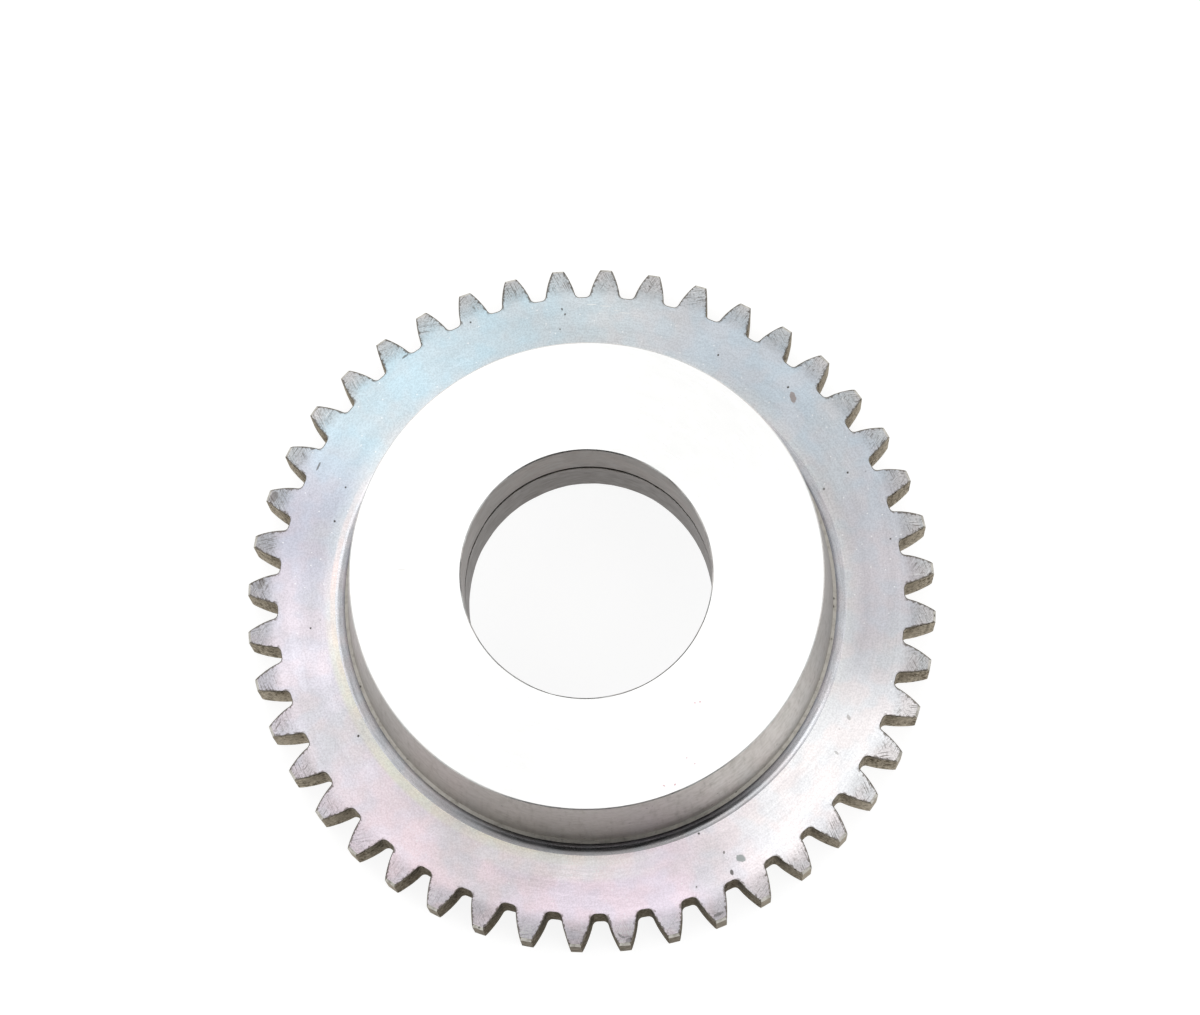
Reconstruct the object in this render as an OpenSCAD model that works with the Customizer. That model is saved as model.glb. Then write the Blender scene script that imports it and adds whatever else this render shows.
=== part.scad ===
// Spur gear wheel turned and hobbed from one forged, zinc plated blank.
// The wheel lies on its underside. Its axis is Z and all sizes are millimetres.

/* [Teeth] */
// Number of teeth
teeth = 44; // [41:1:60]
// Module, the pitch diameter for each tooth
tooth_module = 4; // [3.75:0.25:5]
// Pressure angle of the involute flanks, in degrees
pressure_angle = 20; // [17:0.5:24]
// Tooth height above the pitch circle, in modules
addendum_factor = 1; // [0.8:0.05:1]
// Tooth depth below the pitch circle, in modules
dedendum_factor = 1.075; // [1:0.025:1.25]
// Backlash taken off the thickness of each tooth
tooth_thinning = 0.05; // [0:0.05:0.4]
// Radius where a flank runs into the floor of the gap, limited by the gap's width
root_fillet = 1.4; // [0.6:0.1:1.7]
// Width of the teeth and of the web along the axis
face_width = 17; // [14:0.5:30]
// Chamfer on both ends of each tooth tip
tip_chamfer = 0.7; // [0.3:0.1:1.5]
// Radial width of the bevel on the teeth's hub side ends
end_bevel_width = 6; // [2:0.5:8]
// Height that this bevel drops at the tips
end_bevel_drop = 2.4; // [0.4:0.1:3]

/* [Hub] */
// Height of the hub above the web
hub_height = 39; // [15:1:45]
// Diameter of the hub at its top face
hub_top_d = 122.8; // [105:0.2:124]
// Forging draft of the hub's side wall, in degrees
hub_draft = 5; // [1:0.5:6]
// Broken edge round the hub's top face
hub_edge_chamfer = 0.3; // [0.1:0.1:2]
// Radial width of the forged ledge left at the hub's foot
ledge_width = 0.9; // [0.3:0.1:2]
// Height that the ledge rises towards the hub's wall
ledge_rise = 0.6; // [0.2:0.1:1.5]
// Turned fillet between the ledge and the web
foot_fillet = 2.8; // [1:0.2:5]

/* [Bore] */
// Diameter of the bore
bore_d = 65; // [40:0.5:75]
// Chamfer at both mouths of the bore
bore_chamfer = 0.3; // [0.2:0.1:1.5]
// Width of the ring groove halfway along the bore
groove_width = 2; // [1:0.1:4]
// Depth of the ring groove below the bore's wall
groove_depth = 1.6; // [0.5:0.1:3]

/* [Underside] */
// Diameter of the recess turned into the underside
recess_d = 90; // [80:1:100]
// Depth of that recess
recess_depth = 14.5; // [4:0.5:20]
// Corner radius inside the recess
recess_corner = 1.5; // [0.5:0.1:3]
// Chamfer round the mouth of the recess
recess_chamfer = 1; // [0.3:0.1:2]

/* [Hidden] */

// Straight steps that follow each involute flank and each root fillet
flank_steps = 8;
fillet_steps = 4;
// Length by which a cutting shape runs past the metal
overrun = 2;
round_fn = 180;

// Circles of the teeth
pitch_r = teeth * tooth_module / 2;
base_r = pitch_r * cos(pressure_angle);
tip_r = pitch_r + addendum_factor * tooth_module;
root_r = pitch_r - dedendum_factor * tooth_module;

// Heights and radii of the turned section
bevel_end_z = face_width - end_bevel_drop;
hub_top_z = face_width + hub_height;
hub_top_r = hub_top_d / 2;
ridge_z = face_width + foot_fillet;
ledge_top_z = ridge_z + ledge_rise;
hub_foot_r = hub_top_r + (hub_top_z - ledge_top_z) * tan(hub_draft);
ridge_r = hub_foot_r + ledge_width;
bore_r = bore_d / 2;
recess_r = recess_d / 2;
groove_z = (recess_depth + hub_top_z) / 2;

// Involute of an angle, in degrees
function involute(angle) = tan(angle) * 180 / PI - angle;

// Angle between the flank and the radius at radius r, nil below the base circle
function flank_slope(r) = r > base_r ? acos(base_r / r) : 0;

// Half the angle that a gap between two teeth spans on the pitch circle
pitch_gap_half = 90 / teeth + tooth_thinning / 2 / pitch_r * 180 / PI;

// The same angle at radius r
function gap_half(r) = pitch_gap_half - involute(pressure_angle) + involute(flank_slope(r));

function polar(r, angle) = [r * cos(angle), r * sin(angle)];

// The root fillet leaves at least a tenth of the gap's floor flat
fillet_r = min(root_fillet, 0.9 * root_r * gap_half(root_r) * PI / 180);

// It touches the flank at this radius
fillet_slope = flank_slope(root_r + fillet_r);
flank_start_r = root_r + fillet_r * (1 - sin(fillet_slope));
// Its centre lies at this angle from the middle of the gap
fillet_angle = gap_half(flank_start_r) - fillet_r * cos(fillet_slope) / flank_start_r * 180 / PI;

// One side of a gap, from its floor to beyond the tips
function gap_side() = concat(
    [for (i = [0 : fillet_steps])
        polar(root_r + fillet_r, fillet_angle)
        + polar(fillet_r, fillet_angle + 180 - (90 - fillet_slope) * i / fillet_steps)],
    [for (i = [1 : flank_steps])
        let (r = flank_start_r + (tip_r + overrun - flank_start_r) * i / flank_steps)
        polar(r, gap_half(r))]
);

function mirrored(points) = [for (i = [len(points) - 1 : -1 : 0]) [points[i][0], -points[i][1]]];

// The space that the hob leaves between two teeth, centred on the X axis
module tooth_gap() {
    translate([0, 0, -overrun])
        linear_extrude(height = face_width + 2 * overrun)
            polygon(concat(gap_side(), mirrored(gap_side())));
}

// Fills an inside corner at the origin with a concave radius
module concave_corner(radius) {
    difference() {
        square(radius);
        translate([radius, radius]) circle(r = radius, $fn = round_fn);
    }
}

// Half section of the turned blank, with the axis on the left
module blank_section() {
    polygon([
        [recess_r + recess_chamfer, 0],
        [tip_r - tip_chamfer, 0],
        [tip_r, tip_chamfer],
        [tip_r, bevel_end_z - tip_chamfer],
        [tip_r - tip_chamfer, bevel_end_z + end_bevel_drop * tip_chamfer / end_bevel_width],
        [tip_r - end_bevel_width, face_width],
        [ridge_r, face_width],
        [ridge_r, ridge_z],
        [hub_foot_r, ledge_top_z],
        [hub_top_r, hub_top_z - hub_edge_chamfer],
        [hub_top_r - hub_edge_chamfer, hub_top_z],
        [bore_r + bore_chamfer, hub_top_z],
        [bore_r, hub_top_z - bore_chamfer],
        [bore_r, groove_z + groove_width / 2],
        [bore_r + groove_depth, groove_z + groove_width / 2],
        [bore_r + groove_depth, groove_z - groove_width / 2],
        [bore_r, groove_z - groove_width / 2],
        [bore_r, recess_depth + bore_chamfer],
        [bore_r + bore_chamfer, recess_depth],
        [recess_r, recess_depth],
        [recess_r, recess_chamfer]
    ]);
    translate([ridge_r, face_width]) concave_corner(foot_fillet);
    translate([recess_r, recess_depth]) rotate(180) concave_corner(recess_corner);
}

module gear_wheel() {
    color("silver")
        difference() {
            rotate_extrude($fn = round_fn) blank_section();
            for (i = [0 : teeth - 1])
                rotate((i + 0.5) * 360 / teeth) tooth_gap();
        }
}

gear_wheel();
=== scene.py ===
"""Looks of a zinc plated spur gear wheel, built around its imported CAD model.

One dressed piece stands for the CAD solid. Geometry Nodes repeat one tooth's share of the wheel
round the bore. Each surface then gets the finish that its machining left on it.
"""

import logging
import math
from dataclasses import dataclass, field
from enum import Enum, IntEnum
from typing import Any, Sequence

import bmesh
import bpy
from mathutils import Matrix, Vector


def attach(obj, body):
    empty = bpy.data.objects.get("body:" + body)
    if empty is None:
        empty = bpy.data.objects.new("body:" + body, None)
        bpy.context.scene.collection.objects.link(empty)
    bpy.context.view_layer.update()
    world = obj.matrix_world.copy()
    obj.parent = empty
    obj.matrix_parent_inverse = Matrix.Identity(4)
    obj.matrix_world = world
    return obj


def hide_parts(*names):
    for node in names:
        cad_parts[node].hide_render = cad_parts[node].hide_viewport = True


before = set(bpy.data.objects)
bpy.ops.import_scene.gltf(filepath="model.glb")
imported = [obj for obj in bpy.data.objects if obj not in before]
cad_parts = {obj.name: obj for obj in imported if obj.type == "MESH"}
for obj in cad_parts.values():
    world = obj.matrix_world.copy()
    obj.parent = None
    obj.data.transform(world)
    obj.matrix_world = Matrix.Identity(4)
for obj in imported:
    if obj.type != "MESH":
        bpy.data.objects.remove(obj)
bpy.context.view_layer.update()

log = logging.getLogger("gear_wheel")

MM = 0.001
# Times this, a place keeps its X and Y and loses its height.
LEVEL = (1.0, 1.0, 0.0)
# Nearly all of a cloudy pattern lies between these two values.
SPAN = (0.3, 0.7)
Rgba = tuple[float, float, float, float]
Point = tuple[float, float, float]
Tree = bpy.types.NodeTree
Vert = bmesh.types.BMVert


class Zone(IntEnum):
    """The surfaces of the wheel, each with a finish of its own."""

    WEB = 0
    TOOTH_END = 1
    BROKEN_EDGE = 2
    FLANK = 3
    TIP_LAND = 4
    HUB_TOP = 5
    HUB_WALL = 6
    LEDGE = 7
    FILLET = 8
    BORE = 9
    GROOVE = 10
    UNDERSIDE = 11
    TOOTH_EDGE = 12
    TIP_CHAMFER = 13


def linear(hex_colour: str) -> Rgba:
    """Turns an sRGB hex colour into linear light.

    Args:
        hex_colour: Six hex digits, such as "c0c4c4".

    Returns:
        Red, green, blue and an alpha of 1.
    """
    parts = [int(hex_colour[i:i + 2], 16) / 255 for i in (0, 2, 4)]
    light = [c / 12.92 if c <= 0.04045 else ((c + 0.055) / 1.055) ** 2.4 for c in parts]
    return (light[0], light[1], light[2], 1.0)


class Step(Enum):
    """What a node does to a value: its kind, its settings, its inputs in order and its output."""

    PLUS = ("ShaderNodeMath", {"operation": "ADD"}, (0, 1), 0)
    MINUS = ("ShaderNodeMath", {"operation": "SUBTRACT"}, (0, 1), 0)
    TAKEN_FROM = ("ShaderNodeMath", {"operation": "SUBTRACT"}, (1, 0), 0)
    TIMES = ("ShaderNodeMath", {"operation": "MULTIPLY"}, (0, 1), 0)
    UNSIGNED = ("ShaderNodeMath", {"operation": "ABSOLUTE"}, (0,), 0)
    ROUNDED = ("ShaderNodeMath", {"operation": "ROUND"}, (0,), 0)
    ANGLE = ("ShaderNodeMath", {"operation": "ARCTAN2"}, (0, 1), 0)
    BELOW = ("ShaderNodeMath", {"operation": "LESS_THAN"}, (0, 1), 0)
    LARGER = ("ShaderNodeMath", {"operation": "MAXIMUM"}, (0, 1), 0)
    # Moves a value smoothly from one range to another, which is 0 to 1 where it isn't given.
    RAMP = ("ShaderNodeMapRange", {"interpolation_type": "SMOOTHSTEP"},
            ("Value", "From Min", "From Max", "To Min", "To Max"), 0)
    # Takes a share to the colour that lies between two colours by it.
    MIX = ("ShaderNodeMix", {"data_type": "RGBA"}, ("Factor", 6, 7), 2)
    # Takes a height to a normal, given a depth in metres and the normal that it is raised on.
    RELIEF = ("ShaderNodeBump", {}, ("Height", "Distance", "Normal"), 0)


@dataclass(frozen=True)
class Value:
    """One output of a node. Values add, subtract and multiply as numbers do.

    Attributes:
        node: The node.
        output: Name or number of its output.
    """

    node: bpy.types.Node
    output: int | str = 0

    @property
    def socket(self) -> bpy.types.NodeSocket:
        """The output's socket."""
        return self.node.outputs[self.output]

    def at(self, output: int | str) -> "Value":
        """Returns another output of the same node."""
        return Value(self.node, output)

    def to(self, step: Step, *given: Any) -> "Value":
        """Returns what a step makes of this value and of what its other inputs are given."""
        kind, settings, inputs, output = step.value
        return add(self.node.id_data, kind, settings, dict(zip(inputs, (self, *given))), output)

    def __add__(self, other: Any) -> "Value":
        """Returns the total of this value and another."""
        return self.to(Step.PLUS, other)

    def __sub__(self, other: Any) -> "Value":
        """Returns this value less another."""
        return self.to(Step.MINUS, other)

    def __rsub__(self, number: float) -> "Value":
        """Returns a number less this value."""
        return self.to(Step.TAKEN_FROM, number)

    def __mul__(self, other: Any) -> "Value":
        """Returns the product of this value and another."""
        return self.to(Step.TIMES, other)

    def __abs__(self) -> "Value":
        """Returns this value without its sign."""
        return self.to(Step.UNSIGNED)


def add(tree: Tree, kind: str, settings: dict[str, Any] | None = None,
        links: dict[Any, Any] | None = None, output: int | str = 0) -> Value:
    """Adds one node to a tree.

    Args:
        tree: Shader or geometry tree that gets the node.
        kind: The node's type name.
        settings: Properties of the node and their values.
        links: The node's inputs, by name or number, each with a value of the tree or a constant.
        output: Name or number of the output that is returned.

    Returns:
        The output of the new node.
    """
    node = tree.nodes.new(kind)
    for name, setting in (settings or {}).items():
        setattr(node, name, setting)
    for key, given in (links or {}).items():
        if isinstance(given, Value):
            tree.links.new(given.socket, node.inputs[key])
        else:
            node.inputs[key].default_value = given
    return Value(node, output)


def emptied(owner: bpy.types.Material | bpy.types.World) -> Tree:
    """Clears the node tree of a material or a world.

    Args:
        owner: The material or the world.

    Returns:
        Its tree, with nothing in it.
    """
    owner.use_nodes = True
    owner.node_tree.nodes.clear()
    return owner.node_tree


def put(name: str, data: Any) -> bpy.types.Object:
    """Puts an object into the scene, at the origin.

    Args:
        name: Its name.
        data: Its mesh, camera or light.

    Returns:
        The object.
    """
    made = bpy.data.objects.new(name, data)
    bpy.context.scene.collection.objects.link(made)
    return made


@dataclass(frozen=True)
class OutlinePoint:
    """A point on the outline of one tooth, seen along the axis.

    Attributes:
        radius: Distance from the axis, in mm.
        angle: Angle from the middle of the tooth, in radians.
        inset: The point moved into the metal by the width of the broken edge, as radius and angle.
        edge_drop: Height that the edge loses between the inset point and this one, in mm.
    """

    radius: float
    angle: float
    inset: tuple[float, float]
    edge_drop: float


@dataclass
class ToothForm:
    """The hobbed involute teeth. Lengths are in mm and angles in degrees."""

    count: int = 44
    module: float = 4.0
    pressure_angle: float = 20.0
    addendum: float = 1.0
    dedendum: float = 1.075
    thinning: float = 0.05
    root_fillet: float = 1.4
    tip_chamfer: float = 0.7
    broken_edge: float = 0.22
    bevel_start: float = 84.6
    bevel_drop: float = 2.5
    bevel_curve: float = 1.7
    floor_steps: int = 2
    fillet_steps: int = 4
    flank_steps: int = 7
    tip_steps: int = 4
    same_radius: float = 0.001

    @property
    def pitch_r(self) -> float:
        """Radius of the pitch circle."""
        return self.count * self.module / 2

    @property
    def tip_r(self) -> float:
        """Radius of the circle round the tips."""
        return self.pitch_r + self.addendum * self.module

    @property
    def root_r(self) -> float:
        """Radius of the floors of the gaps."""
        return self.pitch_r - self.dedendum * self.module

    @property
    def base_r(self) -> float:
        """Radius of the circle that the involute unrolls from."""
        return self.pitch_r * math.cos(math.radians(self.pressure_angle))

    @property
    def pitch_angle(self) -> float:
        """Angle of one tooth and one gap, in radians."""
        return 2 * math.pi / self.count

    def at_tip(self, radius: float) -> bool:
        """Returns whether a radius is that of the tips."""
        return radius > self.tip_r - self.same_radius

    def slope(self, radius: float) -> float:
        """Returns the angle between the flank and the radius, in radians."""
        return math.acos(self.base_r / radius) if radius > self.base_r else 0.0

    def gap_half(self, radius: float) -> float:
        """Measures a gap between two teeth.

        Args:
            radius: Distance from the axis, in mm.

        Returns:
            Half the angle of the gap there, in radians.
        """
        at_pitch = self.pitch_angle / 4 + self.thinning / 2 / self.pitch_r
        start, here = math.radians(self.pressure_angle), self.slope(radius)
        return at_pitch - (math.tan(start) - start) + (math.tan(here) - here)

    def half_outline(self) -> list[tuple[float, float]]:
        """Follows one side of a tooth from the middle of the gap to the middle of the tip.

        Returns:
            Radius and angle of each point, in mm and radians, with the tooth's middle at zero.
        """
        half = self.pitch_angle / 2
        slope = self.slope(self.root_r + self.root_fillet)
        start_r = self.root_r + self.root_fillet * (1 - math.sin(slope))
        centre_r = self.root_r + self.root_fillet
        centre_angle = self.gap_half(start_r) - self.root_fillet * math.cos(slope) / start_r
        points = [(self.root_r, -half + centre_angle * i / self.floor_steps) for i in range(self.floor_steps)]
        for i in range(self.fillet_steps + 1):
            turn = math.pi - (math.pi / 2 - slope) * i / self.fillet_steps
            x = centre_r + self.root_fillet * math.cos(turn)
            y = self.root_fillet * math.sin(turn)
            points.append((math.hypot(x, y), -half + centre_angle + math.atan2(y, x)))
        chamfer_r = self.tip_r - self.tip_chamfer
        for i in range(1, self.flank_steps + 1):
            r = start_r + (chamfer_r - start_r) * i / self.flank_steps
            points.append((r, -half + self.gap_half(r)))
        corner = -half + self.gap_half(self.tip_r)
        points += [(self.tip_r, corner * (1 - i / self.tip_steps)) for i in range(self.tip_steps)]
        return points

    def outline(self) -> list[OutlinePoint]:
        """Follows one whole tooth from gap to gap, with each point's inset for the broken edge.

        Returns:
            The outline's points in order of angle.
        """
        half = self.half_outline()
        both = half + [(self.tip_r, 0.0)] + [(r, -a) for r, a in reversed(half)]
        flat = [Vector((r * math.cos(a), r * math.sin(a))) for r, a in both]
        made = []
        for i, (r, a) in enumerate(both):
            before, after = flat[max(i - 1, 0)], flat[min(i + 1, len(flat) - 1)]
            if self.at_tip(r):
                corner = not (self.at_tip(both[i - 1][0]) and self.at_tip(both[(i + 1) % len(both)][0]))
                side = math.copysign(self.broken_edge / r if corner else 0.0, a)
                made.append(OutlinePoint(r, a, (r - self.tip_chamfer, a - side), self.tip_chamfer))
                continue
            along = (after - before).normalized()
            inwards = Vector((-along.y, along.x))
            if i in (0, len(both) - 1):
                inwards = -flat[i].normalized()
            moved = flat[i] + inwards * self.broken_edge
            angle = a if i in (0, len(both) - 1) else math.atan2(moved.y, moved.x)
            made.append(OutlinePoint(r, a, (moved.length, angle), self.broken_edge))
        return made

    def thickness_curve(self) -> tuple[float, float, float, float]:
        """Fits a parabola to half the tooth's thickness above the fillets.

        Returns:
            The pitch radius, half the thickness there, and its first and second change with the radius.
        """
        low, high = self.root_r + self.root_fillet - self.pitch_r, self.tip_r - self.pitch_r
        middle, inner, outer = (
            (self.pitch_angle / 2 - self.gap_half(self.pitch_r + step)) * (self.pitch_r + step)
            for step in (0.0, low, high))
        second = ((outer - middle) / high - (inner - middle) / low) / (high - low)
        first = (outer - middle) / high - second * high
        return (self.pitch_r, middle, first, second)

    def bevel(self, radius: float) -> float:
        """Returns how far the hub side end of a tooth has dropped at a radius, from 0 to 1."""
        share = max(0.0, (radius - self.bevel_start) / (self.tip_r - self.bevel_start))
        return share ** self.bevel_curve


@dataclass
class Blank:
    """The turned and bored blank. Lengths are in mm and angles in degrees."""

    face_width: float = 17.0
    hub_height: float = 39.0
    hub_top_r: float = 61.4
    hub_draft: float = 5.0
    hub_edge: float = 0.3
    ledge_width: float = 0.9
    ledge_rise: float = 0.6
    foot_fillet: float = 2.8
    bore_r: float = 32.5
    bore_chamfer: float = 0.3
    groove_width: float = 2.0
    groove_depth: float = 1.6
    recess_r: float = 45.0
    recess_depth: float = 14.5
    recess_corner: float = 1.5
    recess_chamfer: float = 1.0
    rim_r: float = 78.0
    groove_edge: float = 0.15
    fillet_steps: int = 7
    wall_steps: int = 12
    corner_steps: int = 4

    @property
    def top_z(self) -> float:
        """Height of the hub's top face."""
        return self.face_width + self.hub_height

    @property
    def ridge_z(self) -> float:
        """Height of the outer edge of the ledge."""
        return self.face_width + self.foot_fillet

    @property
    def foot_r(self) -> float:
        """Radius of the hub's wall where it meets the ledge."""
        wall = self.top_z - self.ridge_z - self.ledge_rise
        return self.hub_top_r + wall * math.tan(math.radians(self.hub_draft))

    def upper(self) -> list[tuple[float, float, Zone]]:
        """Follows the section from the rim of the web inwards and down the bore to the recess.

        Returns:
            Radius, height and the zone of the strip that starts there.
        """
        ridge_r = self.foot_r + self.ledge_width
        rows: list[tuple[float, float, Zone]] = [(self.rim_r, self.face_width, Zone.WEB)]
        for i in range(self.fillet_steps):
            turn = math.pi / 2 * i / self.fillet_steps
            r = ridge_r + self.foot_fillet * (1 - math.sin(turn))
            z = self.face_width + self.foot_fillet * (1 - math.cos(turn))
            rows.append((r, z, Zone.FILLET))
        rows.append((ridge_r, self.ridge_z, Zone.LEDGE))
        wall_top = self.top_z - self.hub_edge
        foot_z = self.ridge_z + self.ledge_rise
        for i in range(self.wall_steps):
            t = i / self.wall_steps
            r = self.foot_r + (self.hub_top_r - self.foot_r) * t
            rows.append((r, foot_z + (wall_top - foot_z) * t, Zone.HUB_WALL))
        rows.append((self.hub_top_r, wall_top, Zone.BROKEN_EDGE))
        mouth = self.bore_r + self.bore_chamfer
        rows.append((self.hub_top_r - self.hub_edge, self.top_z, Zone.HUB_TOP))
        rows.append((mouth, self.top_z, Zone.BROKEN_EDGE))
        middle = (self.recess_depth + self.top_z) / 2
        deep = self.bore_r + self.groove_depth
        low, high = middle - self.groove_width / 2, middle + self.groove_width / 2
        rows += [
            (self.bore_r, self.top_z - self.bore_chamfer, Zone.BORE),
            (self.bore_r, high + self.groove_edge, Zone.BROKEN_EDGE),
            (self.bore_r + self.groove_edge, high, Zone.GROOVE),
            (deep, high, Zone.GROOVE),
            (deep, low, Zone.GROOVE),
            (self.bore_r + self.groove_edge, low, Zone.BROKEN_EDGE),
            (self.bore_r, low - self.groove_edge, Zone.BORE),
            (self.bore_r, self.recess_depth + self.bore_chamfer, Zone.BROKEN_EDGE),
            (mouth, self.recess_depth, Zone.UNDERSIDE),
        ]
        for i in range(self.corner_steps + 1):
            turn = math.pi / 2 * i / self.corner_steps
            r = self.recess_r - self.recess_corner * (1 - math.sin(turn))
            z = self.recess_depth - self.recess_corner * (1 - math.cos(turn))
            rows.append((r, z, Zone.UNDERSIDE))
        rows += [
            (self.recess_r, self.recess_chamfer, Zone.BROKEN_EDGE),
            (self.recess_r + self.recess_chamfer, 0.0, Zone.UNDERSIDE),
            (self.rim_r, 0.0, Zone.UNDERSIDE),
        ]
        return rows


@dataclass
class SectorMesh:
    """One tooth's share of the wheel as a mesh, with the tooth in its middle on +X."""

    teeth: ToothForm
    blank: Blank
    columns: int = 12
    end_rows: int = 7
    flank_rows: int = 7
    lower_rows: int = 2
    end_width: float = 5.0
    lean_angle: float = 0.03
    mesh: bmesh.types.BMesh = field(default_factory=bmesh.new)

    def build(self) -> bpy.types.Mesh:
        """Builds the sector.

        Returns:
            A mesh in metres with a zone on each face, and each point's share of the tooth's bevel.
        """
        self.zone = self.mesh.faces.layers.int.new("zone")
        self.drop = self.mesh.verts.layers.float.new("bevel")
        self.lean = self.mesh.verts.layers.float.new("lean")
        outline = self.teeth.outline()
        upper, lower = self.tooth_rows(outline)
        body = self.body_rows()
        self.join_rows(body[0], upper, Zone.WEB, False)
        self.join_rows(body[-1], lower, Zone.UNDERSIDE, True)
        made = bpy.data.meshes.new("gear_sector")
        self.mesh.to_mesh(made)
        self.mesh.free()
        return made

    def point(self, radius: float, angle: float, height: float, drop: float = 0.0) -> Vert:
        """Adds a vertex with its share of the bevel.

        Args:
            radius: Its distance from the axis, in mm.
            angle: Its angle from the middle of the tooth, in radians.
            height: Its height, in mm.
            drop: Its share of the bevel, from 0 to 1.

        Returns:
            The vertex.
        """
        place = (radius * math.cos(angle), radius * math.sin(angle), height)
        vert = self.mesh.verts.new([along * MM for along in place])
        vert[self.drop] = drop
        vert[self.lean] = drop * angle / self.lean_angle
        return vert

    def strip(self, first: Sequence[Vert], second: Sequence[Vert], zones: Sequence[Zone]) -> None:
        """Fills the strip between two rows of vertices with quads.

        Args:
            first: Vertices of one row.
            second: Vertices of the next row, the same number.
            zones: Zone of each quad.
        """
        for i, zone in enumerate(zones):
            face = self.mesh.faces.new((first[i], second[i], second[i + 1], first[i + 1]))
            face[self.zone] = int(zone)

    def tooth_rows(self, outline: list[OutlinePoint]) -> tuple[list[Vert], list[Vert]]:
        """Builds the tooth's two ends and its flanks.

        Args:
            outline: The tooth's outline.

        Returns:
            The innermost rows of the upper and of the lower end.
        """
        teeth, width = self.teeth, self.blank.face_width
        start = self.blank.rim_r + self.end_width
        on_tip = [teeth.at_tip(p.radius) for p in outline]
        sides = [Zone.TIP_LAND if here and there else Zone.FLANK for here, there in zip(on_tip, on_tip[1:])]
        edges = [Zone.TIP_CHAMFER if s == Zone.TIP_LAND else Zone.TOOTH_EDGE for s in sides]
        ends = [Zone.TOOTH_END] * len(sides)

        def end_row(share: float, upper: bool) -> list[Vert]:
            """Places one row of an end face.

            Args:
                share: Place of the row, from the web at 0 to the inset outline at 1.
                upper: Whether the row lies on the hub's side.

            Returns:
                The row's vertices.
            """
            row = []
            for p in outline:
                r = start + (p.inset[0] - start) * share
                a = p.angle + (p.inset[1] - p.angle) * share
                d = teeth.bevel(r) if upper else 0.0
                height = width - teeth.bevel_drop * d if upper else 0.0
                row.append(self.point(r, a, height, d))
            return row

        rows = [end_row(i / self.end_rows, True) for i in range(self.end_rows + 1)]
        for first, second in zip(rows, rows[1:]):
            self.strip(first, second, ends)
        last = rows[-1]
        for k in range(self.flank_rows + 1):
            row = []
            for p in outline:
                d = teeth.bevel(p.radius)
                top = width - teeth.bevel_drop * d - p.edge_drop
                low = p.edge_drop
                t = k / self.flank_rows
                row.append(self.point(p.radius, p.angle, top + (low - top) * t, d * (1 - t)))
            self.strip(last, row, edges if k == 0 else sides)
            last = row
        lower = [end_row(1 - i / self.lower_rows, False) for i in range(self.lower_rows + 1)]
        self.strip(last, lower[0], edges)
        for first, second in zip(lower, lower[1:]):
            self.strip(first, second, [Zone.UNDERSIDE] * len(sides))
        return rows[0], lower[-1]

    def body_rows(self) -> list[list[Vert]]:
        """Builds the turned body from the web's rim through the bore to the underside.

        Returns:
            Its rows of vertices, from the web's rim to the underside's.
        """
        half = self.teeth.pitch_angle / 2
        rows = []
        section = self.blank.upper()
        angles = [-half + 2 * half * i / self.columns for i in range(self.columns + 1)]
        for r, z, _ in section:
            rows.append([self.point(r, angle, z) for angle in angles])
        for (first, second), (_, _, zone) in zip(zip(rows, rows[1:]), section):
            self.strip(second, first, [zone] * self.columns)
        return rows

    def join_rows(self, inner: Sequence[Vert], outer: Sequence[Vert], zone: Zone, flip: bool) -> None:
        """Fills a flat ring between rows of different numbers of vertices with triangles.

        Args:
            inner: The row nearer the axis.
            outer: The row further out.
            zone: Zone of the triangles.
            flip: Whether the ring faces down.
        """
        in_turns, out_turns = ([math.atan2(vert.co.y, vert.co.x) for vert in row[1:]] + [math.inf]
                               for row in (inner, outer))
        i = j = 0
        while i < len(inner) - 1 or j < len(outer) - 1:
            if in_turns[i] < out_turns[j]:
                corners = [inner[i], outer[j], inner[i + 1]]
                i += 1
            else:
                corners = [inner[i], outer[j], outer[j + 1]]
                j += 1
            face = self.mesh.faces.new(reversed(corners) if flip else corners)
            face[self.zone] = int(zone)


@dataclass(frozen=True)
class Mark:
    """A mark on a flat face, with a ragged edge. Lengths are in mm and the turn is in degrees."""

    x: float
    y: float
    width: float
    length: float
    turn: float
    colour: str
    depth: float
    height: float = 17.0
    ragged_size: float = 0.9
    ragged: float = 0.7
    edge: tuple[float, float] = (1.05, 0.8)


@dataclass(frozen=True)
class Side:
    """A side of the wheel: its direction from X and how far it spreads, in degrees, and its strength."""

    azimuth: float
    spread: float
    strength: float


@dataclass(frozen=True)
class Tint(Side):
    """A soft patch of colour towards one side of the wheel. Some are pastels of the zinc's film, some paint
    light on that side, some paint shade.

    It covers a ring between two radii in mm, thins out towards both and is full in the ring's core.
    """

    colour: str
    inner_r: float = 66.0
    outer_r: float = 92.0
    core: float = 0.4


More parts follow.
